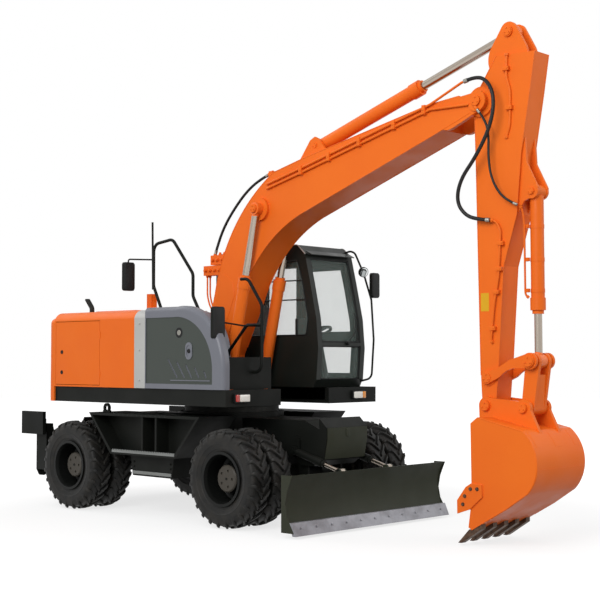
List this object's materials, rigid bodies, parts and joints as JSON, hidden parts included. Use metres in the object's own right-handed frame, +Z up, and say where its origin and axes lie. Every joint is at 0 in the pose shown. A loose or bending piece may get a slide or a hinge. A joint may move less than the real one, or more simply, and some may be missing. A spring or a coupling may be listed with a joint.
{
  "type": "wheeled excavator",
  "caption": "Four-wheel-drive wheeled excavator with twin tyres, front blade, rear stabilisers, cab, one-piece boom, arm and bucket.",
  "frame": {"origin": "on the ground under the middle of the machine's bounding box at rest", "axes": "+X forward over the blade, +Y to the left, +Z up"},
  "size_m": [7.0617, 2.548, 5.115],
  "materials": {
    "orange_paint": "gloss",
    "dark_paint": "satin",
    "silver_paint": "satin",
    "tyre_rubber": "matte",
    "rod_chrome": "polished",
    "worn_steel": "worn",
    "black_iron": "matte",
    "clear_glass": "clear",
    "seat_fabric": "matte",
    "black_plastic": "matte",
    "lamp_lens": "gloss",
    "hose_rubber": "satin"
  },
  "bodies": {
    "undercarriage": {"chassis_frame": "dark_paint", "slew_ring": "black_iron", "lockers": "dark_paint", "front_axle": "dark_paint", "rear_axle": "dark_paint", "driveline": "black_iron", "rear_beam": "dark_paint", "leg_ram_barrels": "dark_paint"},
    "knuckle_left": {"knuckle_left": "dark_paint"},
    "knuckle_right": {"knuckle_right": "dark_paint"},
    "wheel_fl": {"tyres_fl": "tyre_rubber", "rims_fl": "black_iron"},
    "wheel_fr": {"tyres_fr": "tyre_rubber", "rims_fr": "black_iron"},
    "wheel_rl": {"tyres_rl": "tyre_rubber", "rims_rl": "black_iron"},
    "wheel_rr": {"tyres_rr": "tyre_rubber", "rims_rr": "black_iron"},
    "blade": {"blade": "dark_paint", "blade_edge": "worn_steel"},
    "blade_barrels": {"blade_ram_barrels": "dark_paint"},
    "blade_rods": {"blade_ram_rods": "rod_chrome"},
    "stabiliser_left": {"stabiliser_left": "dark_paint"},
    "stabiliser_right": {"stabiliser_right": "dark_paint"},
    "leg_rod_left": {"leg_ram_rod_left": "rod_chrome"},
    "leg_rod_right": {"leg_ram_rod_right": "rod_chrome"},
    "upperstructure": {"platform": "dark_paint", "counterweight": "orange_paint", "engine_cover": "orange_paint", "silver_band": "silver_paint", "tank_cover": "dark_paint", "engine": "black_iron", "front_step": "dark_paint", "cab_shell": "dark_paint", "cab_glass": "clear_glass", "seat": "seat_fabric", "steering_column": "black_plastic", "handrails": "dark_paint", "head_lamps": "lamp_lens", "exhaust_stack": "black_iron"},
    "hood_lid": {"hood_lid": "orange_paint"},
    "engine_door_left": {"engine_door_left": "orange_paint"},
    "engine_door_right": {"engine_door_right": "orange_paint"},
    "cab_door": {"cab_door": "dark_paint", "cab_door_glass": "clear_glass"},
    "boom": {"boom": "orange_paint", "hose_arm_long": "hose_rubber", "hose_arm_short": "hose_rubber", "hose_boom_back": "hose_rubber"},
    "boom_barrels": {"boom_ram_barrels": "orange_paint"},
    "boom_rods": {"boom_ram_rods": "rod_chrome"},
    "arm": {"arm": "orange_paint"},
    "arm_barrel": {"arm_ram_barrel": "orange_paint"},
    "arm_rod": {"arm_ram_rod": "rod_chrome"},
    "bucket_barrel": {"bucket_ram_barrel": "orange_paint"},
    "bucket_rod": {"bucket_ram_rod": "rod_chrome"},
    "rocker": {"rocker": "orange_paint"},
    "bucket_link": {"bucket_link": "orange_paint"},
    "bucket": {"bucket": "orange_paint", "bucket_teeth": "worn_steel"}
  },
  "joints": [
    {"name": "swing", "type": "hinge", "parent": "undercarriage", "child": "upperstructure", "pos_m": [-1.01, 0, 1.255], "axis": [0, 0, 1], "continuous": true},
    {"name": "steer_left", "type": "hinge", "parent": "undercarriage", "child": "knuckle_left", "pos_m": [0.14, 0.66, 0.53], "axis": [0, 0, 1], "range_deg": [-25, 25]},
    {"name": "steer_right", "type": "hinge", "parent": "undercarriage", "child": "knuckle_right", "pos_m": [0.14, -0.66, 0.53], "axis": [0, 0, 1], "range_deg": [-25, 25]},
    {"name": "roll_fl", "type": "hinge", "parent": "knuckle_left", "child": "wheel_fl", "pos_m": [0.14, 0.9, 0.53], "axis": [0, 1, 0], "continuous": true},
    {"name": "roll_fr", "type": "hinge", "parent": "knuckle_right", "child": "wheel_fr", "pos_m": [0.14, -0.9, 0.53], "axis": [0, 1, 0], "continuous": true},
    {"name": "roll_rl", "type": "hinge", "parent": "undercarriage", "child": "wheel_rl", "pos_m": [-2.53, 0.9, 0.53], "axis": [0, 1, 0], "continuous": true},
    {"name": "roll_rr", "type": "hinge", "parent": "undercarriage", "child": "wheel_rr", "pos_m": [-2.53, -0.9, 0.53], "axis": [0, 1, 0], "continuous": true},
    {"name": "blade_lift", "type": "hinge", "parent": "undercarriage", "child": "blade", "pos_m": [0.44, 0, 0.48], "axis": [0, -1, 0], "range_deg": [-13, 24]},
    {"name": "blade_barrel_turn", "type": "hinge", "parent": "undercarriage", "child": "blade_barrels", "pos_m": [0.39, 0, 0.8], "axis": [0, -1, 0], "range_deg": [-11.92, 21.16]},
    {"name": "blade_rod_slide", "type": "slide", "parent": "blade_barrels", "child": "blade_rods", "axis": [0.9636, 0, -0.2673], "range_m": [-0.12992, 0.07175]},
    {"name": "leg_left_lower", "type": "hinge", "parent": "undercarriage", "child": "stabiliser_left", "pos_m": [-3.235, 1.05, 0.42], "axis": [-1, 0, 0], "range_deg": [0, 125]},
    {"name": "leg_right_lower", "type": "hinge", "parent": "undercarriage", "child": "stabiliser_right", "pos_m": [-3.235, -1.05, 0.42], "axis": [1, 0, 0], "range_deg": [0, 125]},
    {"name": "leg_rod_left_slide", "type": "slide", "parent": "undercarriage", "child": "leg_rod_left", "axis": [0, 0.895, -0.4461], "range_m": [-0.003, 0.45242]},
    {"name": "leg_rod_right_slide", "type": "slide", "parent": "undercarriage", "child": "leg_rod_right", "axis": [0, -0.895, -0.4461], "range_m": [-0.003, 0.45242]},
    {"name": "hood_open", "type": "hinge", "parent": "upperstructure", "child": "hood_lid", "pos_m": [-2.75, 0, 2.376], "axis": [0, -1, 0], "range_deg": [0, 75]},
    {"name": "engine_door_left_open", "type": "hinge", "parent": "upperstructure", "child": "engine_door_left", "pos_m": [-2.814, 1.25, 1.85], "axis": [0, 0, 1], "range_deg": [0, 100]},
    {"name": "engine_door_right_open", "type": "hinge", "parent": "upperstructure", "child": "engine_door_right", "pos_m": [-1.945, -1.25, 1.85], "axis": [0, 0, 1], "range_deg": [0, 100]},
    {"name": "cab_door_open", "type": "hinge", "parent": "upperstructure", "child": "cab_door", "pos_m": [-0.98, 1.22, 2.25], "axis": [0, 0, 1], "range_deg": [0, 165]},
    {"name": "boom_lift", "type": "hinge", "parent": "upperstructure", "child": "boom", "pos_m": [-1.14, 0, 1.85], "axis": [0, -1, 0], "range_deg": [-68, 29]},
    {"name": "boom_barrel_turn", "type": "hinge", "parent": "upperstructure", "child": "boom_barrels", "pos_m": [-0.79, 0, 1.43], "axis": [0, -1, 0], "range_deg": [-63.15, 27.51]},
    {"name": "boom_rod_slide", "type": "slide", "parent": "boom_barrels", "child": "boom_rods", "axis": [0.2238, 0, 0.9746], "range_m": [-0.57149, 0.24544]},
    {"name": "arm_swing", "type": "hinge", "parent": "boom", "child": "arm", "pos_m": [2.72, 0, 4.355], "axis": [0, 1, 0], "range_deg": [-92, 17]},
    {"name": "arm_barrel_turn", "type": "hinge", "parent": "boom", "child": "arm_barrel", "pos_m": [0.44, 0, 4.19], "axis": [0, 1, 0], "range_deg": [-3.67, 1.49]},
    {"name": "arm_rod_slide", "type": "slide", "parent": "arm_barrel", "child": "arm_rod", "axis": [0.952, 0, 0.3062], "range_m": [-1.02423, 0.1917]},
    {"name": "bucket_curl", "type": "hinge", "parent": "arm", "child": "bucket", "pos_m": [2.79, 0, 1.345], "axis": [0, 1, 0], "range_deg": [-45, 100]},
    {"name": "rocker_turn", "type": "hinge", "parent": "arm", "child": "rocker", "pos_m": [2.78, 0, 1.617], "axis": [0, 1, 0], "range_deg": [-37, 81]},
    {"name": "link_turn", "type": "hinge", "parent": "bucket", "child": "bucket_link", "pos_m": [3.217, 0, 1.33], "axis": [0, 1, 0], "range_deg": [-57, 26.2]},
    {"name": "bucket_barrel_turn", "type": "hinge", "parent": "arm", "child": "bucket_barrel", "pos_m": [3.27, 0, 3.42], "axis": [0, 1, 0], "range_deg": [-1.9, 3]},
    {"name": "bucket_rod_slide", "type": "slide", "parent": "bucket_barrel", "child": "bucket_rod", "axis": [0.0043, 0, -1], "range_m": [-0.27396, 0.60514]}
  ],
  "couplings": [
    {"joint": "steer_right", "follows": "steer_left", "ratio": 1},
    {"joint": "blade_barrel_turn", "follows": "blade_lift", "ratio": 0.84},
    {"joint": "blade_rod_slide", "follows": "blade_lift", "m_per_rad": -0.303},
    {"joint": "leg_rod_left_slide", "follows": "leg_left_lower", "m_per_rad": 0.206},
    {"joint": "leg_rod_right_slide", "follows": "leg_right_lower", "m_per_rad": 0.206},
    {"joint": "boom_barrel_turn", "follows": "boom_lift", "ratio": 0.914},
    {"joint": "boom_rod_slide", "follows": "boom_lift", "m_per_rad": 0.479},
    {"joint": "arm_barrel_turn", "follows": "arm_swing", "ratio": 0.029},
    {"joint": "arm_rod_slide", "follows": "arm_swing", "m_per_rad": 0.636},
    {"joint": "rocker_turn", "follows": "bucket_curl", "ratio": 0.8},
    {"joint": "link_turn", "follows": "bucket_curl", "ratio": -0.56},
    {"joint": "bucket_barrel_turn", "follows": "bucket_curl", "ratio": 0.02},
    {"joint": "bucket_rod_slide", "follows": "bucket_curl", "m_per_rad": 0.345}
  ]
}
